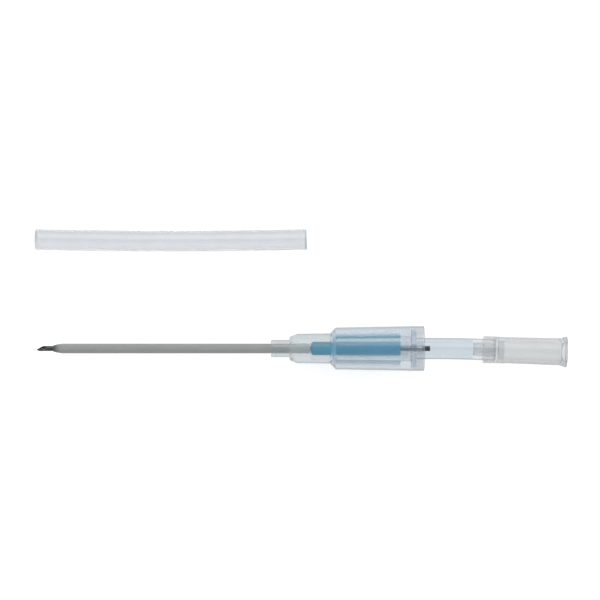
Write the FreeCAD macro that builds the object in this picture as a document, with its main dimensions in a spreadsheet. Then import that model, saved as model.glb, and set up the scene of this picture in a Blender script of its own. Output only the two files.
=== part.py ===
"""Over-the-needle intravenous cannula, with its protective cover taken off.

A grey catheter is bonded into a clear stepped hub. A steel needle runs through it.
The needle is held by a blue holder inside a clear needle hub, whose cone seats in the
catheter hub's socket. A clear flash tube carries blood back to a vent plug with a
porous filter. The cover is a short cut tube that lies beside the cannula.

Millimetres. X runs along the needle, from the point at minus X to the vent plug at
plus X. Z is up. The origin is the centre of the catheter hub's rear mouth.
"""

import FreeCAD, Part
import math
import os

import Sketcher

OUTPUT_FOLDER = "parts"
FULL_TURN = 360
POSITION_TOLERANCE = 1e-4

# Driving dimensions, in millimetres and degrees. Each is set once and by itself.
SIZES = {
    # needle
    "needle_diameter": 0.90,
    "needle_wall": 0.15,
    "needle_protrusion": 2.96,
    "needle_tail": 1.04,
    "bevel_length": 1.95,
    "lancet_angle": 30.0,
    "lancet_roll": 40.0,
    "needle_roll": 30.0,
    # catheter
    "needle_clearance": 0.03,
    "catheter_wall": 0.37,
    "catheter_tip_wall": 0.04,
    "catheter_nose_wall": 0.20,
    "catheter_nose_length": 0.50,
    "catheter_taper_length": 1.00,
    "catheter_free_length": 37.75,
    "catheter_bonded_length": 6.83,
    "bond_gap": 0.01,
    # catheter hub
    "nose_diameter": 3.00,
    "nose_length": 3.20,
    "neck_face_diameter": 4.10,
    "neck_round_length": 1.35,
    "neck_front_diameter": 5.12,
    "neck_rear_diameter": 5.26,
    "neck_length": 7.08,
    "shoulder_length": 0.90,
    "body_front_diameter": 7.30,
    "body_rear_diameter": 7.74,
    "body_length": 12.57,
    "collar_diameter": 7.80,
    "collar_length": 2.80,
    "collar_wall": 0.55,
    "recess_depth": 2.30,
    "hub_rounding": 0.30,
    "edge_rounding": 0.12,
    # needle hub and holder
    "cone_front_diameter": 4.14,
    "cone_taper": 0.022,
    "cone_length": 12.90,
    "cone_clearance": 0.03,
    "socket_end_gap": 0.30,
    "disc_thickness": 0.87,
    "disc_clearance": 0.05,
    "disc_seat_gap": 0.03,
    "holder_diameter": 2.34,
    "holder_setback": 4.10,
    "holder_end_gap": 0.12,
    "holder_rounding": 0.55,
    "throat_clearance": 0.26,
    "spigot_length": 1.30,
    "passage_clearance": 0.15,
    "passage_setback": 2.80,
    # flash tube
    "tube_diameter": 3.75,
    "tube_wall": 0.64,
    "tube_straight": 2.43,
    "tube_bend_length": 7.26,
    "tube_bend_angle": 1.75,
    "tube_tail": 4.00,
    # vent plug and filter
    "plug_clearance": 0.03,
    "skirt_clearance": 0.05,
    "plug_seat_gap": 0.05,
    "plug_nose_length": 3.80,
    "plug_nose_chamfer": 0.60,
    "plug_nose_chamfer_depth": 0.22,
    "vent_hole_diameter": 0.90,
    "skirt_length": 2.10,
    "skirt_wall": 0.40,
    "band_length": 1.60,
    "barrel_front_diameter": 4.55,
    "barrel_rear_diameter": 4.76,
    "barrel_bore_diameter": 3.30,
    "barrel_length": 12.45,
    "web_thickness": 0.50,
    "filter_thickness": 1.00,
    "flange_diameter": 5.34,
    "flange_rim_length": 0.45,
    "flange_flare_length": 0.65,
    # cover
    "cover_clearance": 0.03,
    "cover_wall": 0.27,
    "cover_length": 47.60,
    "cover_bow": 0.30,
    "cover_cut_angle": 12.0,
    "cover_offset": 18.67,
    "cover_lead": 44.14,
}

# Places and fitted sizes, worked out from the driving dimensions.
PLACES = {
    # stations along the catheter hub, counted forward from its rear mouth
    "collar_front": "0 - Sizes.collar_length",
    "body_front": "collar_front - Sizes.body_length",
    "neck_rear": "body_front - Sizes.shoulder_length",
    "neck_front": "neck_rear - Sizes.neck_length",
    "neck_round": "neck_front + Sizes.neck_round_length",
    "nose_front": "neck_front - Sizes.nose_length",
    "recess_floor": "0 - Sizes.recess_depth",
    # catheter
    "needle_radius": "Sizes.needle_diameter / 2",
    "needle_bore_radius": "needle_radius - Sizes.needle_wall",
    "catheter_bore_radius": "needle_radius + Sizes.needle_clearance",
    "catheter_radius": "catheter_bore_radius + Sizes.catheter_wall",
    "catheter_tip": "nose_front - Sizes.catheter_free_length",
    "catheter_nose_end": "catheter_tip + Sizes.catheter_nose_length",
    "catheter_taper_end": "catheter_nose_end + Sizes.catheter_taper_length",
    "catheter_rear": "nose_front + Sizes.catheter_bonded_length",
    "needle_tip": "catheter_tip - Sizes.needle_protrusion",
    # seat of the needle hub in the catheter hub
    "disc_front": "recess_floor + Sizes.disc_seat_gap",
    "disc_rear": "disc_front + Sizes.disc_thickness",
    "cone_front": "disc_front - Sizes.cone_length",
    "cone_front_radius": "Sizes.cone_front_diameter / 2",
    "cone_slope": "Sizes.cone_taper / 2",
    "cone_rear_radius": "cone_front_radius + cone_slope * Sizes.cone_length",
    "socket_front": "cone_front - Sizes.socket_end_gap",
    "socket_front_radius": "cone_front_radius + Sizes.cone_clearance",
    "socket_rear_radius": "cone_rear_radius + Sizes.cone_clearance",
    "recess_radius": "Sizes.collar_diameter / 2 - Sizes.collar_wall",
    "disc_radius": "recess_radius - Sizes.disc_clearance",
    "holder_radius": "Sizes.holder_diameter / 2",
    "holder_front": "catheter_rear + Sizes.holder_end_gap",
    "holder_rear": "0 - Sizes.holder_setback",
    "throat_radius": "holder_radius + Sizes.throat_clearance",
    "bonded_bore_radius": "catheter_radius + Sizes.bond_gap",
    "passage_front": "0 - Sizes.passage_setback",
    "passage_radius": "needle_radius + Sizes.passage_clearance",
    "spigot_rear": "disc_rear + Sizes.spigot_length",
    # flash tube
    "tube_radius": "Sizes.tube_diameter / 2",
    "tube_bore_radius": "tube_radius - Sizes.tube_wall",
    "spigot_radius": "tube_bore_radius - Sizes.bond_gap",
    "bend_front": "disc_rear + Sizes.tube_straight",
    "bend_radius": "Sizes.tube_bend_length * 180 / (pi * Sizes.tube_bend_angle)",
    "bend_reach": "bend_radius * sin(Sizes.tube_bend_angle)",
    "bend_drop": "bend_radius * (1 - cos(Sizes.tube_bend_angle))",
    "tail_reach": "Sizes.tube_tail * cos(Sizes.tube_bend_angle)",
    "tail_drop": "Sizes.tube_tail * sin(Sizes.tube_bend_angle)",
    "tube_rear_x": "bend_front + bend_reach + tail_reach",
    "tube_rear_y": "0 - bend_drop - tail_drop",
    # vent plug, counted from the flash tube's rear end along the tube
    "web_front": "Sizes.plug_seat_gap",
    "web_rear": "web_front + Sizes.web_thickness",
    "filter_rear": "web_rear + Sizes.filter_thickness",
    "plug_front": "web_front - Sizes.plug_nose_length",
    "plug_chamfer_end": "plug_front + Sizes.plug_nose_chamfer",
    "skirt_front": "web_front - Sizes.skirt_length",
    "band_rear": "web_front + Sizes.band_length",
    "plug_rear": "web_front + Sizes.barrel_length",
    "flange_front": "plug_rear - Sizes.flange_rim_length",
    "flare_front": "flange_front - Sizes.flange_flare_length",
    "plug_radius": "tube_bore_radius - Sizes.plug_clearance",
    "plug_front_radius": "plug_radius - Sizes.plug_nose_chamfer_depth",
    "skirt_bore_radius": "tube_radius + Sizes.skirt_clearance",
    "skirt_radius": "skirt_bore_radius + Sizes.skirt_wall",
    "filter_radius": "Sizes.barrel_bore_diameter / 2 - Sizes.bond_gap",
    # cover
    "cover_bore_radius": "Sizes.nose_diameter / 2 + Sizes.cover_clearance",
    "cover_radius": "cover_bore_radius + Sizes.cover_wall",
    "cover_half": "Sizes.cover_length / 2",
    "cover_bow_radius": "cover_half * cover_half / (2 * Sizes.cover_bow) + Sizes.cover_bow / 2",
    "cover_height": "cover_radius - Sizes.collar_diameter / 2",
    "cover_cut_reach": "2 * cover_radius * tan(Sizes.cover_cut_angle)",
}


def fill_sheet(doc, name, cells):
    """Make a spreadsheet whose rows are a word and its value, with the word as alias."""
    sheet = doc.addObject("Spreadsheet::Sheet", name)
    for row, (word, content) in enumerate(cells.items(), start=1):
        sheet.set(f"A{row}", word)
        sheet.set(f"B{row}", content)
        sheet.setAlias(f"B{row}", word)
    return sheet


def value(sheet, expression):
    """What an expression of the sheets is worth now, as a plain number."""
    return float(sheet.evalExpression(expression))


def new_body(doc, label):
    """An empty body. Its label names the sub-part's file."""
    body = doc.addObject("PartDesign::Body", label)
    body.Label = label
    return body


def sketch_on(body, role, name):
    """A sketch on one of the body's own origin planes."""
    sketch = body.newObject("Sketcher::SketchObject", name)
    plane = next(item for item in body.Origin.OriginFeatures if item.Role == role)
    sketch.AttachmentSupport = (plane, "")
    sketch.MapMode = "FlatFace"
    return sketch


def pin_point(sketch, places, line, end, across, along):
    """Tie a line's end to two expressions, measured from the sketch's origin."""
    for kind, expression in (("DistanceX", across), ("DistanceY", along)):
        start = value(places, expression)
        number = sketch.addConstraint(Sketcher.Constraint(kind, -1, 1, line, end, start))
        sketch.setExpression(f"Constraints[{number}]", expression)


def draw_outline(sketch, places, corners):
    """Closed straight-sided outline. Each corner is two expressions of the sheets."""
    points = [FreeCAD.Vector(value(places, a), value(places, b), 0) for a, b in corners]
    count = len(points)
    for index in range(count):
        line = Part.LineSegment(points[index], points[(index + 1) % count])
        sketch.addGeometry(line)
    for index in range(count):
        joined = Sketcher.Constraint("Coincident", index, 2, (index + 1) % count, 1)
        sketch.addConstraint(joined)
    for index, (across, along) in enumerate(corners):
        pin_point(sketch, places, index, 1, across, along)


def draw_rings(sketch, places, radii):
    """Circles round the sketch's origin, each with a radius from the sheets."""
    for expression in radii:
        size = value(places, expression)
        circle = Part.Circle(FreeCAD.Vector(), FreeCAD.Vector(0, 0, 1), size)
        ring = sketch.addGeometry(circle)
        sketch.addConstraint(Sketcher.Constraint("Coincident", ring, 3, -1, 1))
        number = sketch.addConstraint(Sketcher.Constraint("Radius", ring, size))
        sketch.setExpression(f"Constraints[{number}]", expression)


def turn(doc, body, places, name, corners):
    """Revolve an outline of stations along X and radii about the X axis."""
    sketch = sketch_on(body, "XY_Plane", f"{name}_outline")
    draw_outline(sketch, places, corners)
    feature = body.newObject("PartDesign::Revolution", name)
    feature.Profile = sketch
    feature.ReferenceAxis = (sketch, ["H_Axis"])
    feature.Angle = FULL_TURN
    body.Tip = feature
    doc.recompute()
    return feature


def ring_edges(shape, places, rings):
    """Names of the circular edges that lie at the given stations and radii."""
    wanted = [(value(places, station), value(places, radius)) for station, radius in rings]
    names = []
    for number, edge in enumerate(shape.Edges, start=1):
        if not isinstance(edge.Curve, Part.Circle):
            continue
        centre = edge.Curve.Center.x
        radius = edge.Curve.Radius
        for station, size in wanted:
            near = abs(centre - station) < POSITION_TOLERANCE
            if near and abs(radius - size) < POSITION_TOLERANCE:
                names.append(f"Edge{number}")
    return names


def round_rings(doc, body, places, name, size, rings):
    """Round the circular edges at the given stations and radii."""
    base = body.Tip
    fillet = body.newObject("PartDesign::Fillet", name)
    fillet.Base = (base, ring_edges(base.Shape, places, rings))
    fillet.Radius = value(places, size)
    fillet.setExpression("Radius", size)
    body.Tip = fillet
    doc.recompute()
    return fillet


def cut_away(doc, body, name, sketch):
    """Remove everything on both sides of the sketch, and insist that something went."""
    before = body.Shape.Volume
    pocket = body.newObject("PartDesign::Pocket", name)
    pocket.Profile = sketch
    pocket.Type = "ThroughAll"
    pocket.Midplane = True
    body.Tip = pocket
    doc.recompute()
    if pocket.Shape.Volume >= before:
        raise RuntimeError(f"{name} removed nothing")
    return pocket


def make_catheter_tube(doc, places):
    """Soft grey tube. Its tip closes down in two tapers to hug the needle."""
    body = new_body(doc, "catheter_tube")
    bore = "Places.catheter_bore_radius"
    outlet_radius = f"{bore} + Sizes.catheter_tip_wall"
    nose_radius = f"{bore} + Sizes.catheter_nose_wall"
    corners = [
        ("Places.catheter_tip", bore),
        ("Places.catheter_rear", bore),
        ("Places.catheter_rear", "Places.catheter_radius"),
        ("Places.catheter_taper_end", "Places.catheter_radius"),
        ("Places.catheter_nose_end", nose_radius),
        ("Places.catheter_tip", outlet_radius),
    ]
    turn(doc, body, places, "tube", corners)
    return body


def make_catheter_hub(doc, places):
    """Clear stepped moulding: nose, neck, shoulder, wide body and collar.

    Inside, from the front: the bore that the catheter is bonded in, the throat round
    the needle holder's nose, the tapered socket and the recess for the needle hub's
    disc.
    """
    body = new_body(doc, "catheter_hub")
    nose_radius = "Sizes.nose_diameter / 2"
    neck_face_radius = "Sizes.neck_face_diameter / 2"
    neck_front_radius = "Sizes.neck_front_diameter / 2"
    neck_rear_radius = "Sizes.neck_rear_diameter / 2"
    body_front_radius = "Sizes.body_front_diameter / 2"
    body_rear_radius = "Sizes.body_rear_diameter / 2"
    collar_radius = "Sizes.collar_diameter / 2"
    corners = [
        ("Places.nose_front", "Places.bonded_bore_radius"),
        ("Places.catheter_rear", "Places.bonded_bore_radius"),
        ("Places.catheter_rear", "Places.throat_radius"),
        ("Places.socket_front", "Places.throat_radius"),
        ("Places.socket_front", "Places.socket_front_radius"),
        ("Places.recess_floor", "Places.socket_rear_radius"),
        ("Places.recess_floor", "Places.recess_radius"),
        ("0 * 1", "Places.recess_radius"),
        ("0 * 1", collar_radius),
        ("Places.collar_front", collar_radius),
        ("Places.collar_front", body_rear_radius),
        ("Places.body_front", body_front_radius),
        ("Places.neck_rear", neck_rear_radius),
        ("Places.neck_round", neck_front_radius),
        ("Places.neck_front", neck_face_radius),
        ("Places.neck_front", nose_radius),
        ("Places.nose_front", nose_radius),
    ]
    turn(doc, body, places, "moulding", corners)
    broad_rings = [
        ("Places.body_front", body_front_radius),
        ("Places.neck_round", neck_front_radius),
        ("Places.neck_front", neck_face_radius),
    ]
    round_rings(doc, body, places, "shoulder_rounding", "Sizes.hub_rounding", broad_rings)
    fine_rings = [
        ("0 * 1", collar_radius),
        ("0 * 1", "Places.recess_radius"),
        ("Places.nose_front", nose_radius),
    ]
    round_rings(doc, body, places, "mouth_rounding", "Sizes.edge_rounding", fine_rings)
    return body


def make_needle(doc, places):
    """Steel tube with a bevelled point and two lancet facets ground beside it."""
    body = new_body(doc, "needle")
    bore = "Places.needle_bore_radius"
    outside = "Places.needle_radius"
    corners = [
        ("Places.needle_tip", bore),
        ("Sizes.needle_tail", bore),
        ("Sizes.needle_tail", outside),
        ("Places.needle_tip", outside),
    ]
    turn(doc, body, places, "tube", corners)

    # The bevel rises from the point at the bottom to the heel at the top.
    ahead = "Places.needle_tip - Sizes.bevel_length"
    bevel = sketch_on(body, "XZ_Plane", "bevel_outline")
    bevel_corners = [
        ("Places.needle_tip", f"0 - {outside}"),
        ("Places.needle_tip + 2 * Sizes.bevel_length", f"3 * {outside}"),
        (ahead, f"3 * {outside}"),
        (ahead, f"0 - {outside}"),
    ]
    draw_outline(bevel, places, bevel_corners)
    cut_away(doc, body, "bevel", bevel)

    # Each lancet facet is a steeper cut through the same point, rolled to one side.
    point_depth = f"0 - {outside} * cos(Sizes.lancet_roll)"
    rise = f"{point_depth} + 2 * Sizes.bevel_length * tan(Sizes.lancet_angle)"
    facet_corners = [
        ("Places.needle_tip", point_depth),
        ("Places.needle_tip + 2 * Sizes.bevel_length", rise),
        (ahead, rise),
        (ahead, point_depth),
    ]
    for side, direction in (("left", 1), ("right", -1)):
        facet = sketch_on(body, "XZ_Plane", f"{side}_facet_outline")
        roll = value(places, "Sizes.lancet_roll") * direction
        facet.AttachmentOffset = FreeCAD.Placement(
            FreeCAD.Vector(), FreeCAD.Rotation(FreeCAD.Vector(1, 0, 0), roll)
        )
        draw_outline(facet, places, facet_corners)
        cut_away(doc, body, f"{side}_facet", facet)

    body.Placement = FreeCAD.Placement(
        FreeCAD.Vector(),
        FreeCAD.Rotation(FreeCAD.Vector(1, 0, 0), 0 - value(places, "Sizes.needle_roll")),
    )
    return body


def make_needle_holder(doc, places):
    """Blue rod with a rounded nose, bored for the needle that is glued in it."""
    body = new_body(doc, "needle_holder")
    bore = "Places.needle_radius + Sizes.bond_gap"
    outside = "Places.holder_radius"
    corners = [
        ("Places.holder_front", bore),
        ("Places.holder_rear", bore),
        ("Places.holder_rear", outside),
        ("Places.holder_front", outside),
    ]
    turn(doc, body, places, "rod", corners)
    nose = [("Places.holder_front", outside)]
    round_rings(doc, body, places, "nose_rounding", "Sizes.holder_rounding", nose)
    return body


def make_needle_hub(doc, places):
    """Clear moulding: seating cone, stop disc and the spigot that carries the tube."""
    body = new_body(doc, "needle_hub")
    holder_bore = "Places.holder_radius + Sizes.bond_gap"
    corners = [
        ("Places.cone_front", holder_bore),
        ("Places.passage_front", holder_bore),
        ("Places.passage_front", "Places.passage_radius"),
        ("Places.spigot_rear", "Places.passage_radius"),
        ("Places.spigot_rear", "Places.spigot_radius"),
        ("Places.disc_rear", "Places.spigot_radius"),
        ("Places.disc_rear", "Places.disc_radius"),
        ("Places.disc_front", "Places.disc_radius"),
        ("Places.disc_front", "Places.cone_rear_radius"),
        ("Places.cone_front", "Places.cone_front_radius"),
    ]
    turn(doc, body, places, "moulding", corners)
    rings = [
        ("Places.cone_front", "Places.cone_front_radius"),
        ("Places.disc_rear", "Places.disc_radius"),
        ("Places.disc_front", "Places.disc_radius"),
    ]
    round_rings(doc, body, places, "edge_rounding", "Sizes.edge_rounding", rings)
    return body


def make_flash_tube(doc, places):
    """Clear extruded tube, pushed over the spigot. It leaves with a slight bend."""
    body = new_body(doc, "flash_tube")
    path = sketch_on(body, "XY_Plane", "path")
    angle = math.radians(value(places, "Sizes.tube_bend_angle"))
    radius = value(places, "Places.bend_radius")
    front = FreeCAD.Vector(value(places, "Places.disc_rear"), 0, 0)
    bend_start = FreeCAD.Vector(value(places, "Places.bend_front"), 0, 0)
    centre = bend_start - FreeCAD.Vector(0, radius, 0)
    bend_end = centre + radius * FreeCAD.Vector(math.sin(angle), math.cos(angle), 0)
    rear = FreeCAD.Vector(value(places, "Places.tube_rear_x"), value(places, "Places.tube_rear_y"), 0)
    circle = Part.Circle(centre, FreeCAD.Vector(0, 0, 1), radius)
    straight = path.addGeometry(Part.LineSegment(front, bend_start))
    bend = path.addGeometry(Part.ArcOfCircle(circle, math.pi / 2 - angle, math.pi / 2))
    tail = path.addGeometry(Part.LineSegment(bend_end, rear))
    path.addConstraint(Sketcher.Constraint("Tangent", straight, 2, bend, 2))
    path.addConstraint(Sketcher.Constraint("Tangent", bend, 1, tail, 1))
    pin_point(path, places, straight, 1, "Places.disc_rear", "0 * 1")
    pin_point(path, places, straight, 2, "Places.bend_front", "0 * 1")
    pin_point(path, places, tail, 2, "Places.tube_rear_x", "Places.tube_rear_y")

    section = sketch_on(body, "YZ_Plane", "section")
    draw_rings(section, places, ("Places.tube_radius", "Places.tube_bore_radius"))
    section.AttachmentOffset = FreeCAD.Placement(
        FreeCAD.Vector(0, 0, front.x), FreeCAD.Rotation()
    )
    section.setExpression("AttachmentOffset.Base.z", "Places.disc_rear")
    doc.recompute()

    pipe = body.newObject("PartDesign::AdditivePipe", "tube")
    pipe.Profile = section
    pipe.Spine = path
    body.Tip = pipe
    doc.recompute()
    return body


def make_vent_plug(doc, places):
    """Frosted plug: a nose in the tube, a skirt over it and an open flanged barrel."""
    body = new_body(doc, "vent_plug")
    vent_radius = "Sizes.vent_hole_diameter / 2"
    bore_radius = "Sizes.barrel_bore_diameter / 2"
    barrel_front_radius = "Sizes.barrel_front_diameter / 2"
    barrel_rear_radius = "Sizes.barrel_rear_diameter / 2"
    flange_radius = "Sizes.flange_diameter / 2"
    corners = [
        ("Places.plug_front", vent_radius),
        ("Places.web_rear", vent_radius),
        ("Places.web_rear", bore_radius),
        ("Places.plug_rear", bore_radius),
        ("Places.plug_rear", flange_radius),
        ("Places.flange_front", flange_radius),
        ("Places.flare_front", barrel_rear_radius),
        ("Places.band_rear", barrel_front_radius),
        ("Places.band_rear", "Places.skirt_radius"),
        ("Places.skirt_front", "Places.skirt_radius"),
        ("Places.skirt_front", "Places.skirt_bore_radius"),
        ("Places.web_front", "Places.skirt_bore_radius"),
        ("Places.web_front", "Places.plug_radius"),
        ("Places.plug_chamfer_end", "Places.plug_radius"),
        ("Places.plug_front", "Places.plug_front_radius"),
    ]
    turn(doc, body, places, "moulding", corners)
    rings = [
        ("Places.plug_rear", flange_radius),
        ("Places.skirt_front", "Places.skirt_radius"),
    ]
    round_rings(doc, body, places, "edge_rounding", "Sizes.edge_rounding", rings)
    seat_on_tube_end(body, places)
    return body


def make_vent_filter(doc, places):
    """Porous disc pressed against the web at the front of the plug's barrel."""
    body = new_body(doc, "vent_filter")
    corners = [
        ("Places.web_rear", "0 * 1"),
        ("Places.filter_rear", "0 * 1"),
        ("Places.filter_rear", "Places.filter_radius"),
        ("Places.web_rear", "Places.filter_radius"),
    ]
    turn(doc, body, places, "disc", corners)
    seat_on_tube_end(body, places)
    return body


def seat_on_tube_end(body, places):
    """Carry a body from the origin to the flash tube's rear end, along its tail."""
    tail_angle = 0 - value(places, "Sizes.tube_bend_angle")
    body.Placement = FreeCAD.Placement(
        FreeCAD.Vector(), FreeCAD.Rotation(FreeCAD.Vector(0, 0, 1), tail_angle)
    )
    body.setExpression("Placement.Base.x", "Places.tube_rear_x")
    body.setExpression("Placement.Base.y", "Places.tube_rear_y")


def make_cover_tube(doc, places):
    """Protective cover: a slightly bowed cut tube whose front end is cut askew."""
    body = new_body(doc, "cover_tube")
    section = sketch_on(body, "YZ_Plane", "section")
    draw_rings(section, places, ("Places.cover_radius", "Places.cover_bore_radius"))
    bow_radius = value(places, "Places.cover_bow_radius")
    low_point = FreeCAD.Vector(bow_radius, 0, 0)
    high_point = FreeCAD.Vector(bow_radius, value(places, "Places.cover_radius"), 0)
    axis = section.addGeometry(Part.LineSegment(low_point, high_point), True)
    pin_point(section, places, axis, 1, "Places.cover_bow_radius", "0 * 1")
    pin_point(section, places, axis, 2, "Places.cover_bow_radius", "Places.cover_radius")
    tube = body.newObject("PartDesign::Revolution", "tube")
    tube.Profile = section
    tube.ReferenceAxis = (section, ["Axis0"])
    tube.Midplane = True
    tube.setExpression("Angle", "2 * asin(Places.cover_half / Places.cover_bow_radius)")
    body.Tip = tube
    doc.recompute()

    front = "0 - Places.cover_half"
    ahead = f"{front} - Places.cover_cut_reach"
    outside = "Places.cover_radius"
    cut = sketch_on(body, "XZ_Plane", "cut_outline")
    cut_corners = [
        (f"{front} - Places.cover_cut_reach / 2", f"0 - 2 * {outside}"),
        (f"{front} + 1.5 * Places.cover_cut_reach", f"2 * {outside}"),
        (ahead, f"2 * {outside}"),
        (ahead, f"0 - 2 * {outside}"),
    ]
    draw_outline(cut, places, cut_corners)
    cut_away(doc, body, "askew_end", cut)

    body.setExpression("Placement.Base.x", "0 - Sizes.cover_lead")
    body.setExpression("Placement.Base.y", "Sizes.cover_offset")
    body.setExpression("Placement.Base.z", "Places.cover_height")
    return body


def check_and_write(doc, bodies):
    """Stop if anything failed, then write one file for each sub-part."""
    for item in doc.Objects:
        if "Invalid" in item.State or "Error" in item.State:
            raise RuntimeError(f"{item.Label} is in state {item.State}")
    for body in bodies:
        if body.Shape.isNull() or not body.Shape.isValid():
            raise RuntimeError(f"{body.Label} has no valid shape")
    os.makedirs(OUTPUT_FOLDER, exist_ok=True)
    for body in bodies:
        body.Shape.exportStep(os.path.join(OUTPUT_FOLDER, f"{body.Label}.step"))
        box = body.Shape.optimalBoundingBox(False, False)
        print(
            f"{body.Label}: {body.Shape.Volume:.2f} mm3,"
            f" x {box.XMin:.2f} to {box.XMax:.2f},"
            f" y {box.YMin:.2f} to {box.YMax:.2f},"
            f" z {box.ZMin:.2f} to {box.ZMax:.2f},"
            f" {len(body.Shape.Solids)} solid"
        )


def main():
    doc = FreeCAD.newDocument("Cannula")
    fill_sheet(doc, "Sizes", {word: str(number) for word, number in SIZES.items()})
    formulas = {word: f"={formula}" for word, formula in PLACES.items()}
    places = fill_sheet(doc, "Places", formulas)
    doc.recompute()
    makers = (
        make_catheter_tube,
        make_catheter_hub,
        make_needle,
        make_needle_holder,
        make_needle_hub,
        make_flash_tube,
        make_vent_plug,
        make_vent_filter,
        make_cover_tube,
    )
    bodies = [maker(doc, places) for maker in makers]
    doc.recompute()
    check_and_write(doc, bodies)


main()
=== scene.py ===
# %% [markdown]
# # An intravenous cannula and its cover tube
#
# The object is small: a grey catheter over a steel needle, a clear hub,
# a clear flash tube and a frosted vent plug, with the milky cover tube
# lying beside it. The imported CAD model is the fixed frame. Here it gets
# its finishes, a floor, soft light and a camera.

# %% Load the frame
import math

import bpy
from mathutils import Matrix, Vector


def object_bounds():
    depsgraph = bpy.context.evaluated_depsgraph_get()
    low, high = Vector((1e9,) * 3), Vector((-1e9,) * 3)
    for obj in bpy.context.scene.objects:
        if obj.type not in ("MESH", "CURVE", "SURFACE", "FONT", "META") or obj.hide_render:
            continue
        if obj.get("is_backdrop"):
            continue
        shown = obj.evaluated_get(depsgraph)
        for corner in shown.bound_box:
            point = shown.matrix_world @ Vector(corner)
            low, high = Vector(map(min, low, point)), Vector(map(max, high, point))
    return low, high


MILLIMETRE = 0.001


def in_millimetres(low, high):
    """The three lengths of a box, for printing."""
    return [round((b - a) / MILLIMETRE, 2) for a, b in zip(low, high)]


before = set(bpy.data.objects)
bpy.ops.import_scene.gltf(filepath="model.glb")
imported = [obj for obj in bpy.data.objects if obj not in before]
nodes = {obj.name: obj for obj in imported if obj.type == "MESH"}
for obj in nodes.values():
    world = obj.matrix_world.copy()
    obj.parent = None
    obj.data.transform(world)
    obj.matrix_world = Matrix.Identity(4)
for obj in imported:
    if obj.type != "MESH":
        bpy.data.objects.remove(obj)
cad_low, cad_high = (list(corner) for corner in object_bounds())
print("CAD box in millimetres:", in_millimetres(cad_low, cad_high))

# %% [markdown]
# ## The camera
#
# The picture looks straight down on the object, the needle's point to the
# left. Its straight parts show no perspective, so the camera stands five
# picture widths away with a long lens. One pixel of a picture 600 pixels
# wide is 0.1735 mm on the needle's axis.

# %% Camera
PIXEL = 0.1735 * MILLIMETRE
PICTURE_SIDE = 600
HUB_MOUTH_COLUMN = 424.0
AXIS_ROW = 348.5
SENSOR = 36.0
LENS = 180.0
NEAREST_SEEN = 0.01

view_width = PIXEL * PICTURE_SIDE
camera_height = view_width * LENS / SENSOR
camera_x = (PICTURE_SIDE / 2 - HUB_MOUTH_COLUMN) * PIXEL
camera_y = (AXIS_ROW - PICTURE_SIDE / 2) * PIXEL

camera_data = bpy.data.cameras.new("camera")
camera_data.sensor_width = SENSOR
camera_data.lens = LENS
camera_data.clip_start = NEAREST_SEEN
camera = bpy.data.objects.new("camera", camera_data)
camera.location = (camera_x, camera_y, camera_height)
bpy.context.scene.collection.objects.link(camera)
bpy.context.scene.camera = camera
bpy.context.scene.view_settings.view_transform = "Standard"
print("camera height in metres:", round(camera_height, 4))

# %% [markdown]
# ## Small helpers for node trees
#
# Every finish is a tree of shader nodes. These helpers keep the cells
# that follow short: they add a node with its settings and links, join
# values by arithmetic, tell one kind of ray from another, and start and
# close a material.

# %% Node helpers
def add_node(tree, kind, inputs=None, **settings):
    made = tree.nodes.new(kind)
    for name, setting in settings.items():
        setattr(made, name, setting)
    for name, given in (inputs or {}).items():
        if isinstance(given, bpy.types.NodeSocket):
            tree.links.new(given, made.inputs[name])
        else:
            made.inputs[name].default_value = given
    return made


def maths(tree, kind, *values):
    """Joins two or more values by one operation, from left to right."""
    joined = values[0]
    for value in values[1:]:
        joined = add_node(tree, "ShaderNodeMath", {0: joined, 1: value}, operation=kind).outputs[0]
    return joined


def absolute(tree, value):
    return add_node(tree, "ShaderNodeMath", {0: value}, operation="ABSOLUTE").outputs[0]


def opposite(tree, share):
    return maths(tree, "SUBTRACT", 1.0, share)


def ray_is(tree, *kinds):
    """1 for a ray of any of these kinds, and 0 for others."""
    path = add_node(tree, "ShaderNodeLightPath")
    return maths(tree, "MAXIMUM", *(path.outputs[f"Is {kind} Ray"] for kind in kinds))


def new_material(name):
    material = bpy.data.materials.new(name)
    material.use_nodes = True
    material.node_tree.nodes.clear()
    return material


def finish_material(material, surface):
    tree = material.node_tree
    output = add_node(tree, "ShaderNodeOutputMaterial")
    tree.links.new(surface, output.inputs["Surface"])
    return material


print("helpers ready")

# %% [markdown]
# ## Floor
#
# The real object lies on plain white. A white floor under a lamp is only
# as white as the light on it, so the camera also sees some light of the
# floor's own. The share that comes from the lamp stays, and with it
# the soft shadow under the object. What is seen through clear plastic,
# or mirrored in it, is the same white without the shadow's grain.

# %% Floor
FLOOR_DROP = 0.02 * MILLIMETRE
FLOOR_SIDE = 3.0
FLOOR_COLOUR = (0.8, 0.8, 0.8, 1)
FLOOR_GLOW = 0.42
FLOOR_WHITE = 1.1

floor_height = cad_low[2] - FLOOR_DROP
half = FLOOR_SIDE / 2
floor_mesh = bpy.data.meshes.new("floor")
floor_corners = [(-half, -half, 0), (half, -half, 0), (half, half, 0), (-half, half, 0)]
floor_mesh.from_pydata(floor_corners, [], [(0, 1, 2, 3)])
floor = bpy.data.objects.new("floor", floor_mesh)
floor.location = (camera_x, camera_y, floor_height)
bpy.context.scene.collection.objects.link(floor)
floor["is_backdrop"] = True

floor_finish = new_material("floor_white")
tree = floor_finish.node_tree
lit = add_node(tree, "ShaderNodeBsdfDiffuse", {"Color": FLOOR_COLOUR})
own_light = maths(tree, "MULTIPLY", ray_is(tree, "Camera"), FLOOR_GLOW)
glow = add_node(tree, "ShaderNodeEmission", {"Strength": own_light})
both = add_node(tree, "ShaderNodeAddShader", {0: lit.outputs[0], 1: glow.outputs[0]})
plain = add_node(tree, "ShaderNodeEmission", {"Strength": FLOOR_WHITE})
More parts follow.
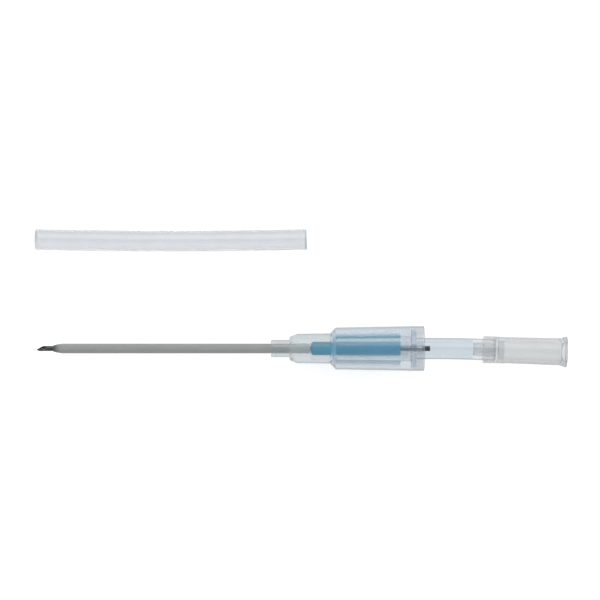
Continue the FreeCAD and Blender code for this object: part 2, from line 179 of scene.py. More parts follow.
by_plastic = ray_is(tree, "Glossy", "Transmission")
floor_surface = add_node(
    tree, "ShaderNodeMixShader", {0: by_plastic, 1: both.outputs[0], 2: plain.outputs[0]}
)
floor_mesh.materials.append(finish_material(floor_finish, floor_surface.outputs[0]))
print("floor at millimetres:", round(floor_height / MILLIMETRE, 3))

# %% [markdown]
# ## The tent
#
# The object is lit from all round by a white tent, as small clear things
# are in a studio. Its walls are white. Its ceiling is darker, because
# that is where a camera that looks straight down has its opening, and a
# clear surface that mirrors a white ceiling loses its colour. It is a
# little lighter towards the back.

# %% World
CEILING_DROP = 0.45
BACK_LIGHT = 0.25
MOST_BOUNCES = 24
FEWEST_BOUNCES = 16

world = bpy.data.worlds.new("white_tent")
world.use_nodes = True
world_tree = world.node_tree
world_tree.nodes.clear()
direction = add_node(world_tree, "ShaderNodeTexCoord").outputs["Generated"]
towards = add_node(world_tree, "ShaderNodeSeparateXYZ", {"Vector": direction}).outputs
upward = maths(world_tree, "MAXIMUM", towards["Z"], 0.0)
ceiling = maths(world_tree, "MULTIPLY", upward, upward, -CEILING_DROP)
behind = maths(world_tree, "MULTIPLY", upward, towards["Y"], BACK_LIGHT)
tent = maths(world_tree, "ADD", ceiling, behind, 1.0)
sky = add_node(world_tree, "ShaderNodeBackground", {"Color": (1, 1, 1, 1), "Strength": tent})
world_output = add_node(world_tree, "ShaderNodeOutputWorld")
world_tree.links.new(sky.outputs[0], world_output.inputs["Surface"])
bpy.context.scene.world = world
paths = bpy.context.scene.cycles
paths.max_bounces = MOST_BOUNCES
paths.transmission_bounces = MOST_BOUNCES
paths.min_light_bounces = FEWEST_BOUNCES
print("tent: 1 at the walls,", round(1 - CEILING_DROP, 2), "at the ceiling")

# %% [markdown]
# ## The lamp
#
# One broad lamp stands behind, so the upper side of each round part is a
# little lighter than the lower side.

# %% Lamp
LAMP_DISTANCE = 0.9
LAMP_SIDE = 1.2
LAMP_POWER = 4.0


def add_lamp(name, place, side, power, aim):
    data = bpy.data.lights.new(name, "AREA")
    data.shape = "DISK"
    data.size = side
    data.energy = power
    lamp = bpy.data.objects.new(name, data)
    lamp.location = place
    ahead = [a - b for a, b in zip(aim, place)]
    flat = math.hypot(ahead[0], ahead[1])
    lamp.rotation_euler = (math.atan2(flat, -ahead[2]), 0, math.atan2(-ahead[0], ahead[1]))
    bpy.context.scene.collection.objects.link(lamp)


lamp_place = (camera_x, camera_y + LAMP_DISTANCE, LAMP_DISTANCE)
add_lamp("main_lamp", lamp_place, LAMP_SIDE, LAMP_POWER, (camera_x, camera_y, 0))

# %% [markdown]
# ## Helpers for textures
#
# These give a finish its grain, read where a point lies on the part and
# how it is seen, and turn that into shares and colours. Distances from
# the needle's axis are told apart up to the farthest one, in millimetres.

# %% Helpers for textures
FARTHEST = 5.0
NOISE_DETAIL = 2.0


def texture_place(tree):
    return add_node(tree, "ShaderNodeTexCoord").outputs["Object"]


def place_on_part(tree):
    """The point's X, Y and Z, in metres."""
    return add_node(tree, "ShaderNodeSeparateXYZ", {"Vector": texture_place(tree)}).outputs


def place_across(tree):
    """Millimetres of Y."""
    return maths(tree, "DIVIDE", place_on_part(tree)["Y"], MILLIMETRE)


def distance(tree, across, upward):
    """How far a point is from an axis, from its two distances square to that axis."""
    flat = add_node(tree, "ShaderNodeCombineXYZ", {"Y": across, "Z": upward}).outputs[0]
    length = add_node(tree, "ShaderNodeVectorMath", {0: flat}, operation="LENGTH")
    return length.outputs["Value"]


def noise(tree, size, stretch=(1, 1, 1)):
    """Noise with features of about this size in metres."""
    scaled = add_node(
        tree,
        "ShaderNodeMapping",
        {"Vector": texture_place(tree), "Scale": tuple(1 / (size * s) for s in stretch)},
    )
    return add_node(
        tree,
        "ShaderNodeTexNoise",
        {"Vector": scaled.outputs[0], "Scale": 1.0, "Detail": NOISE_DETAIL},
    ).outputs["Fac"]


def spread(tree, value, low, high, start=0.3, stop=0.7, kind="LINEAR"):
    """Maps a value from one range to another. The first default suits a noise."""
    return add_node(
        tree,
        "ShaderNodeMapRange",
        {"Value": value, "From Min": start, "From Max": stop, "To Min": low, "To Max": high},
        interpolation_type=kind,
    ).outputs[0]


def from_share(tree, share, low, high):
    """The value between low and high that a share from 0 to 1 stands for."""
    return spread(tree, share, low, high, 0.0, 1.0)


def window(tree, value, rise, fall):
    """0, rising to 1 between two values and falling back to 0 between two more."""
    up = spread(tree, value, 0.0, 1.0, *rise, "SMOOTHSTEP")
    down = spread(tree, value, 1.0, 0.0, *fall, "SMOOTHSTEP")
    return maths(tree, "MULTIPLY", up, down)


def zone(tree, first, last):
    """1 between two stations along the needle, in millimetres, and 0 elsewhere."""
    along = place_on_part(tree)["X"]
    after = maths(tree, "GREATER_THAN", along, first * MILLIMETRE)
    before = maths(tree, "LESS_THAN", along, last * MILLIMETRE)
    return maths(tree, "MULTIPLY", after, before)


def above_axis(tree, reach, below, above):
    """Goes from one value to another across the needle's axis, over this reach in millimetres."""
    limit = reach * MILLIMETRE
    return spread(tree, place_on_part(tree)["Y"], below, above, -limit, limit)


def blend_colours(tree, factor, first, second, kind="MIX"):
    mixed = add_node(tree, "ShaderNodeMix", data_type="RGBA", blend_type=kind)
    if isinstance(factor, bpy.types.NodeSocket):
        tree.links.new(factor, mixed.inputs["Factor"])
    else:
        mixed.inputs["Factor"].default_value = factor
    for socket, colour in (("A", first), ("B", second)):
        target = [s for s in mixed.inputs if s.name == socket and s.type == "RGBA"][0]
        if isinstance(colour, bpy.types.NodeSocket):
            tree.links.new(colour, target)
        else:
            target.default_value = (*colour, 1)
    return [s for s in mixed.outputs if s.type == "RGBA"][0]


def colour_along(tree, stops, kind="LINEAR"):
    """A colour that changes along the needle. Each stop is millimetres of X and a colour."""
    first, last = stops[0][0], stops[-1][0]
    along = place_on_part(tree)["X"]
    share = spread(tree, along, 0.0, 1.0, first * MILLIMETRE, last * MILLIMETRE)
    ramp = add_node(tree, "ShaderNodeValToRGB", {"Fac": share})
    ramp.color_ramp.interpolation = kind
    elements = ramp.color_ramp.elements
    while len(elements) > 1:
        elements.remove(elements[-1])
    for number, (station, colour) in enumerate(stops):
        share = (station - first) / (last - first)
        element = elements[0] if number == 0 else elements.new(share)
        element.color = (*colour, 1)
    elements[0].position = 0.0
    return ramp.outputs["Color"]


def beyond(tree, steps):
    """1 where the surface is farther from the needle's axis than the steps say, else 0."""
    place = place_on_part(tree)
    share = maths(tree, "DIVIDE", distance(tree, place["Y"], place["Z"]), FARTHEST * MILLIMETRE)
    greys = [(station, (size / FARTHEST,) * 3) for station, size in steps]
    return maths(tree, "GREATER_THAN", share, colour_along(tree, greys, "CONSTANT"))


def facing(tree):
    """0 where a surface is seen face on, and 1 where it is seen edge on."""
    return add_node(tree, "ShaderNodeLayerWeight", {"Blend": 0.5}).outputs["Facing"]


def from_within(tree):
    """1 where a surface is met from inside its piece, else 0."""
    return add_node(tree, "ShaderNodeNewGeometry").outputs["Backfacing"]


def slant(tree, start, stop):
    """0 where a round side is seen face on, rising to 1 where it is seen at a slant."""
    rise = spread(tree, facing(tree), 0.0, 1.0, start, stop, "SMOOTHSTEP")
    normal = add_node(tree, "ShaderNodeNewGeometry").outputs["Normal"]
    lengthwise = add_node(tree, "ShaderNodeSeparateXYZ", {"Vector": normal}).outputs["X"]
    return maths(tree, "MULTIPLY", rise, opposite(tree, absolute(tree, lengthwise)))


print("texture helpers ready")

# %% [markdown]
# ## Recipe for clear plastic
#
# Most of the object is clear moulded plastic. One recipe serves: a
# refracting surface with a tint and a fine texture, in which a share is
# plain milky plastic. Seen face on the plastic is clear. Seen at a
# slant, where the eye looks along the frosted skin, it is milkier, and
# Layer Weight gives that. Lamps are let through as a tinted veil, or the
# pieces inside would stay dark.

# %% Recipe for clear plastic
SPECULAR = 0.3
BUMP_DEPTH = 0.02 * MILLIMETRE
GRAIN_SIZE = 0.35 * MILLIMETRE
CLOUD_SIZE = 3 * MILLIMETRE
CLOUD_RANGE = (0.97, 1.0)
GRAIN_ROUGHNESS = (0.8, 1.2)
GRAIN_BUMP = 0.05


def clear_plastic(name, paint, veil, ior=1.5):
    """paint(tree) gives the tint, the milky share and the roughness."""
    material = new_material(name)
    tree = material.node_tree
    colour, milk, rough = paint(tree)
    grain = noise(tree, GRAIN_SIZE)
    cloud = spread(tree, noise(tree, CLOUD_SIZE), *CLOUD_RANGE)
    bump = add_node(
        tree,
        "ShaderNodeBump",
        {"Height": grain, "Strength": GRAIN_BUMP, "Distance": BUMP_DEPTH},
    )
    body = add_node(
        tree,
        "ShaderNodeBsdfPrincipled",
        {
            "Base Color": blend_colours(tree, 1.0, colour, cloud, "MULTIPLY"),
            "Roughness": maths(tree, "MULTIPLY", spread(tree, grain, *GRAIN_ROUGHNESS), rough),
            "Normal": bump.outputs[0],
            "Transmission Weight": opposite(tree, milk),
            "IOR": ior,
            "Specular IOR Level": SPECULAR,
        },
    )
    through = add_node(tree, "ShaderNodeBsdfTransparent", {"Color": (*veil, 1)})
    passing = ray_is(tree, "Shadow", "Diffuse")
    surface = add_node(
        tree, "ShaderNodeMixShader", {0: passing, 1: body.outputs[0], 2: through.outputs[0]}
    )
    return finish_material(material, surface.outputs[0])


def dress(node, material):
    nodes[node].data.materials.clear()
    nodes[node].data.materials.append(material)


print("clear plastic ready")

# %% [markdown]
# ## Catheter hub
#
# The hub is one stepped moulding with a socket in it, and it is the
# piece that everything else is seen through. Its outside is frosted and
# its inside polished, so the two get their own tint and roughness:
# whether a point is outside is read from its distance to the axis. The
# shoulder, a conical step, and the neck's front corner are frosted.
#
# The blue holder is mirrored in the socket's wall as two lines, and it
# colours the shoulder in front of it. Refraction gives the lines their
# place. Their colour is a painted reflection, laid on where a window on
# the angle lets it, and the shoulder has a painted blue of its own for
# the holder seen through it. Both are painted into the hub's finish, so
# they stay when the needle is drawn out, which on the real hub they don't.

# %% Catheter hub
HUB_INSIDE = [(-26.6, 1.17), (-23.35, 1.8), (-15.47, 2.9), (-2.31, 3.6), (0.1, 3.6)]
HUB_OUTSIDE_TINT = [
    (-26.6, (0.58, 0.61, 0.62)),
    (-23.5, (0.58, 0.62, 0.63)),
    (-22.0, (0.577, 0.635, 0.645)),
    (-16.4, (0.57, 0.625, 0.65)),
    (-15.3, (0.55, 0.63, 0.71)),
    (-4.5, (0.55, 0.63, 0.71)),
    (-2.5, (0.57, 0.605, 0.65)),
    (0.1, (0.57, 0.605, 0.64)),
]
# On the lower side the outside's tint is partly painted shade: darker than the upper side over
# most of the hub.
HUB_LOWER_SHADED_TINT = [
    (-26.6, (0.58, 0.61, 0.62)),
    (-23.5, (0.58, 0.62, 0.63)),
    (-22.5, (0.56, 0.585, 0.62)),
    (-16.4, (0.56, 0.585, 0.62)),
    (-15.3, (0.54, 0.61, 0.66)),
    (-4.2, (0.54, 0.61, 0.66)),
    (-4.0, (0.60, 0.68, 0.72)),
    (-2.6, (0.60, 0.66, 0.70)),
    (-2.3, (0.52, 0.555, 0.60)),
    (0.1, (0.52, 0.555, 0.59)),
]
HUB_LOWER_SIDE = (-2.0, -1.0)
HUB_INSIDE_TINT = (0.95, 0.96, 0.97)
HUB_EDGE_MILK = (0.54, 0.60, 0.66)
# Painted shade: a dark grey line along the hub's outline, where its side is seen at a steep slant.
HUB_RIM_PAINTED_SHADE = (0.32, 0.36, 0.38)
HUB_ROUGHNESS = (0.06, 0.12)
HUB_EDGE_SLANT = (0.25, 0.8)
HUB_RIM_SLANT = (0.45, 0.75)
HUB_MILK = (0.02, 0.45)
RIM_MILK = 0.7
CORNER_MILK = 0.8
HUB_VEIL = (0.94, 0.95, 0.96)

BLUE_ZONE = (-15.3, -4.1)
# Painted reflection of the blue holder: bluer above the axis, paler below.
BLUE_MIRRORED = (0.07, 0.28, 0.38)
PALE_MIRRORED = (0.27, 0.33, 0.40)
MIRROR_RISE = (0.135, 0.17)
MIRROR_FALL = (0.25, 0.58)
MIRROR_REACH = 1.0
LOWER_MIRROR_SHIFT = -0.085
MIRROR_MILK = 0.5

# The shoulder is frosted, and has a painted blue where the holder is seen through it.
SHOULDER = (-16.0, -15.3)
SHOULDER_FROST = (0.46, 0.56, 0.66)
SHOULDER_PAINTED_BLUE = (0.22, 0.46, 0.64)
BEFORE_HOLDER = ((-1.35, -1.05), (1.05, 1.35))
NECK_CORNER = (-23.45, -22.6)
CORNER_FROST = (0.60, 0.64, 0.65)
CORNER_START = 1.5


def paint_hub(tree):
    outside = beyond(tree, HUB_INSIDE)
    edge = maths(tree, "MULTIPLY", slant(tree, *HUB_EDGE_SLANT), outside)
    rim = maths(tree, "MULTIPLY", slant(tree, *HUB_RIM_SLANT), outside)

    lower = spread(tree, place_across(tree), 1.0, 0.0, *HUB_LOWER_SIDE)
    upper_skin = colour_along(tree, HUB_OUTSIDE_TINT)
    skin = blend_colours(tree, lower, upper_skin, colour_along(tree, HUB_LOWER_SHADED_TINT))
    tint = blend_colours(tree, outside, HUB_INSIDE_TINT, skin)

    shift = above_axis(tree, MIRROR_REACH, LOWER_MIRROR_SHIFT, 0.0)
    angle = maths(tree, "ADD", facing(tree), shift)
    seen = window(tree, angle, MIRROR_RISE, MIRROR_FALL)
    inside = opposite(tree, outside)
    mirror = maths(tree, "MULTIPLY", inside, from_within(tree), zone(tree, *BLUE_ZONE), seen)
    above = above_axis(tree, MIRROR_REACH, 0.0, 1.0)
    mirrored = blend_colours(tree, above, PALE_MIRRORED, BLUE_MIRRORED)

    shoulder = maths(tree, "MULTIPLY", outside, zone(tree, *SHOULDER))
    before_holder = window(tree, place_across(tree), *BEFORE_HOLDER)
    frosted = blend_colours(tree, before_holder, SHOULDER_FROST, SHOULDER_PAINTED_BLUE)
    beside = maths(tree, "GREATER_THAN", absolute(tree, place_across(tree)), CORNER_START)
    corner = maths(tree, "MULTIPLY", outside, beside, zone(tree, *NECK_CORNER))

    colour = blend_colours(tree, shoulder, tint, frosted)
    colour = blend_colours(tree, edge, colour, HUB_EDGE_MILK)
    colour = blend_colours(tree, rim, colour, HUB_RIM_PAINTED_SHADE)
    colour = blend_colours(tree, corner, colour, CORNER_FROST)
    colour = blend_colours(tree, mirror, colour, mirrored)

    marked = maths(tree, "MULTIPLY", maths(tree, "MAXIMUM", mirror, shoulder), MIRROR_MILK)
    milk = maths(
        tree,
        "MAXIMUM",
        maths(tree, "ADD", from_share(tree, edge, *HUB_MILK), marked),
        maths(tree, "MULTIPLY", rim, RIM_MILK),
        maths(tree, "MULTIPLY", corner, CORNER_MILK),
    )
    return colour, milk, from_share(tree, outside, *HUB_ROUGHNESS)


dress("catheter_hub", clear_plastic("hub_plastic", paint_hub, HUB_VEIL))
print("catheter hub done")

# %% [markdown]
# ## Needle hub
#
# The needle hub is a clear cone that seats in the catheter hub's socket,
# with a stop disc behind it. The blue holder is bonded in its bore. A
# clear wall around a blue rod carries the blue outwards, most of all
# where light meets the bore at a shallow angle and is mirrored there.
# Tints that differ inside and outside, a painted blue reflection on the
# bore and a painted blue on the cone's slanting sides over the holder
# give that without one more piece. Over the holder the upper side of the
# cone and of its bore, and the upper side of the disc, are tinted darker
# than the lower side, as painted shade.

# %% Needle hub
CONE_RADIUS = [(-15.3, 1.6), (0.1, 1.6)]
NEEDLE_HUB_TINT = [
    (-15.2, (0.90, 0.95, 0.95)),
    (-4.2, (0.90, 0.95, 0.95)),
    (-4.0, (0.85, 0.87, 0.88)),
    (0.0, (0.85, 0.87, 0.88)),
]
# Over the holder the slanting sides carry a painted blue reflection, elsewhere a milky grey.
NEEDLE_HUB_EDGE_MILK_AND_REFLECTION = [
    (-15.2, (0.10, 0.30, 0.38)),
    (-4.2, (0.10, 0.30, 0.38)),
    (-4.0, (0.55, 0.60, 0.66)),
    (0.0, (0.55, 0.60, 0.66)),
]
# On the upper side over the holder the skin and the bore are tinted darker: painted shade.
UPPER_SKIN_SHADED = (0.667, 0.856, 0.88)
LOWER_BORE = (0.62, 0.82, 0.86)
UPPER_BORE_SHADED = (0.576, 0.785, 0.783)
# Painted reflection of the blue holder, on the bore where it is met from within at a shallow
# angle.
BORE_REFLECTION_BLUE = (0.12, 0.35, 0.45)
BORE_REFLECTION_RISE = (0.24, 0.26)
BORE_REFLECTION_FALL = (0.30, 0.42)
BORE_REFLECTION_MILK = 0.5
DISC = (-2.35, -1.3)
# The disc's upper side is tinted darker than its lower side: painted shade.
DISC_LOWER = (0.80, 0.87, 0.94)
DISC_UPPER_SHADED = (0.66, 0.75, 0.84)
OVER_NEEDLE = ((-1.0, -0.6), (0.6, 1.0))
DISC_MILK = (0.5, 0.08)
UPPER_REACH = 0.4
NEEDLE_HUB_SLANT = (0.55, 0.75)
NEEDLE_HUB_MILK = (0.01, 0.4)
NEEDLE_HUB_ROUGHNESS = 0.08
NEEDLE_HUB_VEIL = (0.97, 0.98, 0.98)


def paint_needle_hub(tree):
    outside = beyond(tree, CONE_RADIUS)
    edge = maths(tree, "MULTIPLY", slant(tree, *NEEDLE_HUB_SLANT), outside)
    over_blue = zone(tree, *BLUE_ZONE)
    inside = maths(tree, "MULTIPLY", opposite(tree, outside), over_blue)
    above = above_axis(tree, UPPER_REACH, 0.0, 1.0)
    upper = maths(tree, "MULTIPLY", above, over_blue)

    skin = blend_colours(tree, upper, colour_along(tree, NEEDLE_HUB_TINT), UPPER_SKIN_SHADED)
    bore = blend_colours(tree, upper, LOWER_BORE, UPPER_BORE_SHADED)
    tint = blend_colours(tree, inside, skin, bore)
    shallow = window(tree, facing(tree), BORE_REFLECTION_RISE, BORE_REFLECTION_FALL)
    bore_reflection = maths(tree, "MULTIPLY", inside, shallow, from_within(tree))

    disc = maths(tree, "MULTIPLY", outside, zone(tree, *DISC))
    disc_tint = blend_colours(tree, above, DISC_LOWER, DISC_UPPER_SHADED)
    over_needle = window(tree, place_across(tree), *OVER_NEEDLE)
    disc_milk = maths(tree, "MULTIPLY", disc, from_share(tree, over_needle, *DISC_MILK))

    colour = blend_colours(tree, edge, tint, colour_along(tree, NEEDLE_HUB_EDGE_MILK_AND_REFLECTION))
    colour = blend_colours(tree, disc, colour, disc_tint)
    colour = blend_colours(tree, bore_reflection, colour, BORE_REFLECTION_BLUE)
    milk = maths(
        tree,
        "MAXIMUM",
        from_share(tree, edge, *NEEDLE_HUB_MILK),
        disc_milk,
        maths(tree, "MULTIPLY", bore_reflection, BORE_REFLECTION_MILK),
    )
    return colour, milk, NEEDLE_HUB_ROUGHNESS


dress("needle_hub", clear_plastic("needle_hub_plastic", paint_needle_hub, NEEDLE_HUB_VEIL))
print("needle hub done")

# %% [markdown]
# ## Flash tube
#
# The tube is clear tubing, slightly bent. Blood that runs back into it
# shows that the needle is in the vein, so it has to be the clearest
# piece here. It has almost no milk, only its walls, seen at a slant, are
# painted grey as shade. The distance from its axis tells the outside from
# the bore. That axis is taken as straight up to the middle of the bend,
# and straight again past it.

# %% Flash tube
TUBE_TINT = [
    (-1.5, (0.90, 0.93, 0.95)),
    (-0.1, (0.90, 0.93, 0.95)),
    (0.1, (0.577, 0.637, 0.692)),
    (8.4, (0.577, 0.637, 0.692)),
    (8.7, (0.71, 0.74, 0.765)),
    (10.2, (0.71, 0.74, 0.765)),
    (10.4, (0.95, 0.96, 0.97)),
    (12.0, (0.95, 0.96, 0.97)),
    (12.1, (0.60, 0.62, 0.64)),
    (12.4, (0.60, 0.62, 0.64)),
]
TUBE_BORE_TINT = (0.97, 0.98, 0.99)
# Painted shade on the walls seen at a slant.
TUBE_EDGE_PAINTED_SHADE = (0.40, 0.44, 0.455)
TUBE_OUTSIDE = 1.55
BEND_MIDDLE = 4.66
BEND_ANGLE = 1.75
TUBE_SLANT = (0.4, 0.6)
TUBE_MILK = (0.01, 0.63)
TUBE_ROUGHNESS = 0.05
TUBE_VEIL = (0.96, 0.97, 0.97)
SOFT_PLASTIC_IOR = 1.4


def from_tube_axis(tree):
    """Radius from the flash tube's bent axis, which falls away past the bend's middle."""
    place = place_on_part(tree)
    past = maths(tree, "SUBTRACT", place["X"], BEND_MIDDLE * MILLIMETRE)
    slope = math.tan(math.radians(BEND_ANGLE))
    fall = maths(tree, "MULTIPLY", maths(tree, "MAXIMUM", past, 0.0), slope)
    return distance(tree, maths(tree, "ADD", place["Y"], fall), place["Z"])


def paint_flash_tube(tree):
    outside = maths(tree, "GREATER_THAN", from_tube_axis(tree), TUBE_OUTSIDE * MILLIMETRE)
    edge = maths(tree, "MULTIPLY", slant(tree, *TUBE_SLANT), outside)
    skin = blend_colours(tree, outside, TUBE_BORE_TINT, colour_along(tree, TUBE_TINT))
    colour = blend_colours(tree, edge, skin, TUBE_EDGE_PAINTED_SHADE)
    return colour, from_share(tree, edge, *TUBE_MILK), TUBE_ROUGHNESS


tube_plastic = clear_plastic("tube_plastic", paint_flash_tube, TUBE_VEIL, SOFT_PLASTIC_IOR)
dress("flash_tube", tube_plastic)
print("flash tube done")

# %% [markdown]
# ## Vent plug
#
# The plug is one frosted moulding: a nose inside the tube, a skirt over
# it, a barrel and a flange. Each of them is a different thickness of
# plastic in front of the white floor, so each has its own grey. The
# greys are stops on one ramp along the plug, which is easier to read and
# to change than one material for each part of a single moulding. The
# narrow stops are painted shade in the gap behind the web, and at the
# flange's front corner a line of painted shade with a painted highlight
# behind it. The lower side, the mouth of the bore and the sides seen at
# a slant are painted darker, as shade.

# %% Vent plug
# The narrow stops are painted: shade in the gap behind the web, and a shaded line with a painted
# highlight at the flange's front corner.
PLUG_GREYS_AND_SHADE = [
    (8.4, (0.71, 0.73, 0.755)),
    (10.15, (0.71, 0.73, 0.755)),
    (10.25, (0.72, 0.74, 0.76)),
    (12.15, (0.72, 0.74, 0.76)),
    (12.2, (0.66, 0.69, 0.70)),
    (12.35, (0.66, 0.69, 0.70)),
    (12.4, (0.60, 0.63, 0.64)),
    (12.85, (0.60, 0.63, 0.64)),
    (12.95, (0.632, 0.655, 0.665)),
    (23.5, (0.632, 0.655, 0.665)),
    (23.6, (0.56, 0.58, 0.59)),
    (23.8, (0.56, 0.58, 0.59)),
    (23.85, (0.69, 0.71, 0.72)),
    (24.05, (0.69, 0.71, 0.72)),
    (24.15, (0.60, 0.62, 0.63)),
    (25.0, (0.60, 0.62, 0.63)),
]
# Painted shade in the mouth of the bore.
PLUG_MOUTH = (24.0, 25.0)
PLUG_MOUTH_SHADE = (0.63, 0.64, 0.645)
PLUG_BORE_TINT = (0.96, 0.96, 0.96)
PLUG_LOWER_SIDE = (-2.3, -1.7)
# Painted shade: a darker lower side, and darker sides seen at a slant.
PLUG_LOWER_SHADE = (0.90, 0.91, 0.91)
PLUG_EDGE_PAINTED_SHADE = (0.46, 0.48, 0.49)
PLUG_OUTSIDE = 2.1
NOSE_END = 12.4
NOSE_INSIDE = 0.6
NOSE_OUTSIDE = 1.3
PLUG_SLANT = (0.25, 0.8)
PLUG_MILK = (0.05, 0.6)
PLUG_ROUGHNESS = 0.15
PLUG_VEIL = (0.95, 0.95, 0.95)


def paint_vent_plug(tree):
    radius = from_tube_axis(tree)
    barrel = maths(tree, "GREATER_THAN", radius, PLUG_OUTSIDE * MILLIMETRE)
    in_tube = maths(tree, "LESS_THAN", place_on_part(tree)["X"], NOSE_END * MILLIMETRE)
    within = maths(tree, "LESS_THAN", radius, NOSE_OUTSIDE * MILLIMETRE)
    without = maths(tree, "GREATER_THAN", radius, NOSE_INSIDE * MILLIMETRE)
    nose = maths(tree, "MULTIPLY", in_tube, within, without)
    outside = maths(tree, "MAXIMUM", barrel, nose)
    edge = maths(tree, "MULTIPLY", slant(tree, *PLUG_SLANT), barrel)
    inner = blend_colours(tree, zone(tree, *PLUG_MOUTH), PLUG_BORE_TINT, PLUG_MOUTH_SHADE)
    lower = spread(tree, place_across(tree), 1.0, 0.0, *PLUG_LOWER_SIDE)
    skin = blend_colours(tree, outside, inner, colour_along(tree, PLUG_GREYS_AND_SHADE))
    skin = blend_colours(tree, lower, skin, PLUG_LOWER_SHADE, "MULTIPLY")
    colour = blend_colours(tree, edge, skin, PLUG_EDGE_PAINTED_SHADE)
    return colour, from_share(tree, edge, *PLUG_MILK), PLUG_ROUGHNESS


plug_plastic = clear_plastic("plug_plastic", paint_vent_plug, PLUG_VEIL, SOFT_PLASTIC_IOR)
dress("vent_plug", plug_plastic)
print("vent plug done")

# %% [markdown]
# ## Cover tube
#
# The cover is a cut length of thin milky tubing. A flat grey would lose
# the pale strip along its middle, and plain clear plastic would show too
# much floor, so it is clear with a fifth of milk and more at the sides.
# It is painted a little darker away from the lower edge, and greyer at
# its sides, as shade. The cut ends are frosted, so they stay grey where
# light runs out of the wall.

# %% Cover tube
COVER_FRONT_END = (-68.2, -67.35)
COVER_REAR_END = (-20.65, -20.2)
COVER_END_COLOUR = (0.66, 0.68, 0.70)
COVER_END_MILK = 0.48
COVER_SPAN = (17.2, 20.1)
# Painted shade: face and sides get darker towards the upper edge, and the sides are greyer than
# the face.
COVER_LOWER_FACE = (0.91, 0.92, 0.935)
COVER_UPPER_FACE_SHADED = (0.81, 0.83, 0.855)
COVER_LOWER_SIDE_SHADE = (0.80, 0.81, 0.825)
COVER_UPPER_SIDE_SHADE = (0.72, 0.73, 0.75)
COVER_SLANT = (0.2, 0.9)
COVER_MILK = (0.2, 0.42)
COVER_ROUGHNESS = 0.12
COVER_VEIL = (0.9, 0.92, 0.94)


def paint_cover_tube(tree):
    edge = slant(tree, *COVER_SLANT)
    height = spread(tree, place_across(tree), 0.0, 1.0, *COVER_SPAN)
    face = blend_colours(tree, height, COVER_LOWER_FACE, COVER_UPPER_FACE_SHADED)
    side = blend_colours(tree, height, COVER_LOWER_SIDE_SHADE, COVER_UPPER_SIDE_SHADE)
    end = maths(tree, "MAXIMUM", zone(tree, *COVER_FRONT_END), zone(tree, *COVER_REAR_END))
    colour = blend_colours(tree, edge, face, side)
    colour = blend_colours(tree, end, colour, COVER_END_COLOUR)
    end_milk = maths(tree, "MULTIPLY", end, COVER_END_MILK)
    milk = maths(tree, "MAXIMUM", from_share(tree, edge, *COVER_MILK), end_milk)
    return colour, milk, COVER_ROUGHNESS


dress("cover_tube", clear_plastic("cover_plastic", paint_cover_tube, COVER_VEIL))
print("cover tube done")

# %% [markdown]
# ## Recipe for solid plastic
#
# The catheter is a satin grey polymer, the holder blue moulded plastic
# and the filter a porous white disc. One recipe gives all three their
# colour, their grain and how far light sinks in.

# %% Recipe for solid plastic
STREAK_SHADE = (0.92, 1.0)
STREAK_BUMP = 0.1
ROUGHNESS_RANGE = (0.85, 1.15)
SCATTER = (0.4, 0.4, 0.4)
SHEEN_ROUGHNESS = 0.5


def solid_plastic(name, paint, grain_size, stretch, roughness, sheen, softness):
    """paint(tree) gives the colour, which streaks of this size then vary."""
    material = new_material(name)
    tree = material.node_tree
    streaks = noise(tree, grain_size, stretch)
    shade = spread(tree, streaks, *STREAK_SHADE)
    low, high = (roughness * share for share in ROUGHNESS_RANGE)
    bump = add_node(
        tree,
        "ShaderNodeBump",
        {"Height": streaks, "Strength": STREAK_BUMP, "Distance": BUMP_DEPTH},
    )
    body = add_node(
        tree,
        "ShaderNodeBsdfPrincipled",
        {
            "Base Color": blend_colours(tree, 1.0, paint(tree), shade, "MULTIPLY"),
            "Roughness": spread(tree, streaks, low, high),
            "Normal": bump.outputs[0],
            "Specular IOR Level": SPECULAR,
            "Subsurface Weight": softness,
            "Subsurface Radius": SCATTER,
            "Subsurface Scale": MILLIMETRE,
            "Sheen Weight": sheen,
            "Sheen Roughness": SHEEN_ROUGHNESS,
        },
    )
    return finish_material(material, body.outputs[0])


print("solid plastic ready")

# %% [markdown]
# ## Catheter, holder and filter
#
# The catheter is grey tubing, drawn lengthwise, so its streaks are twelve
# times longer than they are wide. Its tip is so thin that the dark
# needle shows through, which a ramp along the tube gives. That ramp is
# the catheter's own, so the tip stays dark when the needle is drawn out.
# Light sinks into the tube a little, as into any fluoropolymer, so it
# scatters some below its surface.
#
# The holder and the filter are plain opaque plastics. In the picture
# both get darker towards their upper edge, and a shade across does that.

# %% Catheter, holder and filter
CATHETER_COLOURS = [
    (-64.4, (0.09, 0.09, 0.09)),
    (-63.95, (0.13, 0.13, 0.13)),
    (-63.6, (0.24, 0.25, 0.245)),
    (-63.0, (0.325, 0.345, 0.335)),
    (-26.7, (0.33, 0.35, 0.345)),
    (-26.4, (0.40, 0.43, 0.43)),
    (-23.4, (0.42, 0.45, 0.45)),
    (-23.2, (0.50, 0.54, 0.54)),
    (-19.9, (0.50, 0.54, 0.54)),
]
HOLDER_BLUE = [(-19.6, (0.064, 0.39, 0.57)), (-4.0, (0.06, 0.44, 0.70))]
FILTER_WHITE = [(12.8, (0.93, 0.96, 0.98)), (14.0, (0.93, 0.96, 0.98))]
# where a shade starts and stops across, in millimetres of Y, and how dark it gets
UNSHADED = (0.0, 1.0, 1.0)
HOLDER_SHADE = (0.1, 0.8, 0.58)
FILTER_SHADE = (-1.2, 0.4, 0.74)
DRAWN = (12, 1, 1)
EVEN = (1, 1, 1)


def shaded_paint(stops, start, stop, darkest):
    """A paint with this ramp along, which gets darker between two millimetres of Y."""

    def paint(tree):
        shade = spread(tree, place_across(tree), 1.0, darkest, start, stop)
        return blend_colours(tree, 1.0, colour_along(tree, stops), shade, "MULTIPLY")

    return paint


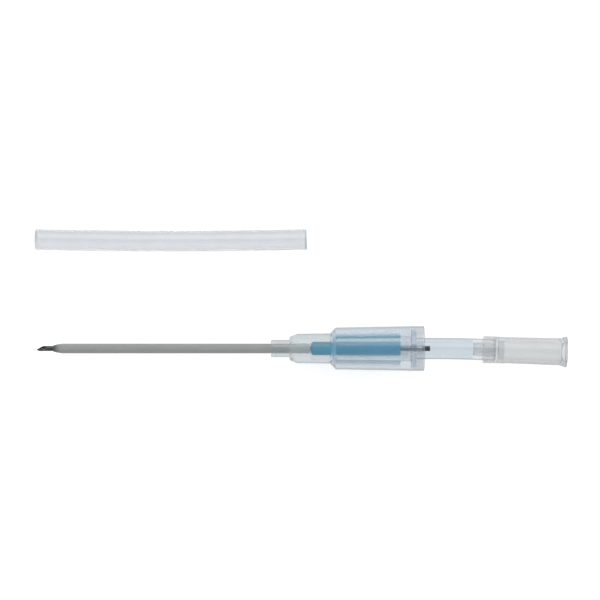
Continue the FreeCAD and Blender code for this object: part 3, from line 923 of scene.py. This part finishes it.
catheter_paint = shaded_paint(CATHETER_COLOURS, *UNSHADED)
holder_paint = shaded_paint(HOLDER_BLUE, *HOLDER_SHADE)
filter_paint = shaded_paint(FILTER_WHITE, *FILTER_SHADE)
# node, material, paint, grain in millimetres, stretch, roughness, sheen, softness
finishes = (
    ("catheter_tube", "catheter_plastic", catheter_paint, 0.25, DRAWN, 0.6, 0.1, 0.2),
    ("needle_holder", "holder_plastic", holder_paint, 0.3, EVEN, 0.5, 0.0, 0.0),
    ("vent_filter", "filter_media", filter_paint, 0.12, EVEN, 0.8, 0.0, 0.0),
)
for node, name, paint, grain, stretch, roughness, sheen, softness in finishes:
    size = grain * MILLIMETRE
    dress(node, solid_plastic(name, paint, size, stretch, roughness, sheen, softness))
print("solid plastics done")

# %% [markdown]
# ## Needle
#
# The needle is drawn steel tube, so its fine lines run lengthwise. Bare
# steel shows mostly what is around it, so the ramp of colours along the
# needle is painted reflection: dark at the point with a small painted
# glint on the bevel, paler and bluish inside the clear plastic, and dark
# again at the rear end in the flash tube.

# %% Needle
# Painted reflections along the needle, with a small painted glint on the bevel.
STEEL_PAINTED_REFLECTIONS = [
    (-67.3, (0.045, 0.045, 0.045)),
    (-66.5, (0.06, 0.06, 0.06)),
    (-66.0, (0.12, 0.12, 0.12)),
    (-65.3, (0.10, 0.10, 0.10)),
    (-64.8, (0.08, 0.08, 0.08)),
    (-62.5, (0.08, 0.08, 0.08)),
    (-60.0, (0.40, 0.43, 0.46)),
    (-4.2, (0.40, 0.44, 0.48)),
    (-4.0, (0.40, 0.52, 0.63)),
    (-2.9, (0.40, 0.52, 0.62)),
    (-2.6, (0.50, 0.59, 0.67)),
    (-1.3, (0.50, 0.59, 0.67)),
    (-1.1, (0.80, 0.91, 1.0)),
    (-0.4, (0.80, 0.91, 1.0)),
    (-0.1, (0.06, 0.07, 0.085)),
    (1.1, (0.03, 0.037, 0.045)),
]
STEEL_LINE_SIZE = 0.05 * MILLIMETRE
STEEL_LINE_STRETCH = (40, 1, 1)
STEEL_LINE_SHADE = (0.75, 1.0)
STEEL_LINE_DEPTH = 0.01 * MILLIMETRE
STEEL_LINE_BUMP = 0.1
STEEL_ROUGHNESS = (0.2, 0.3)

steel = new_material("needle_steel")
tree = steel.node_tree
drawn = noise(tree, STEEL_LINE_SIZE, STEEL_LINE_STRETCH)
line_shade = spread(tree, drawn, *STEEL_LINE_SHADE)
steel_bump = add_node(
    tree,
    "ShaderNodeBump",
    {"Height": drawn, "Strength": STEEL_LINE_BUMP, "Distance": STEEL_LINE_DEPTH},
)
steel_body = add_node(
    tree,
    "ShaderNodeBsdfPrincipled",
    {
        "Base Color": blend_colours(
            tree, 1.0, colour_along(tree, STEEL_PAINTED_REFLECTIONS), line_shade, "MULTIPLY"
        ),
        "Metallic": 1.0,
        "Roughness": spread(tree, drawn, *STEEL_ROUGHNESS),
        "Normal": steel_bump.outputs[0],
    },
)
dress("needle", finish_material(steel, steel_body.outputs[0]))
print("needle done")
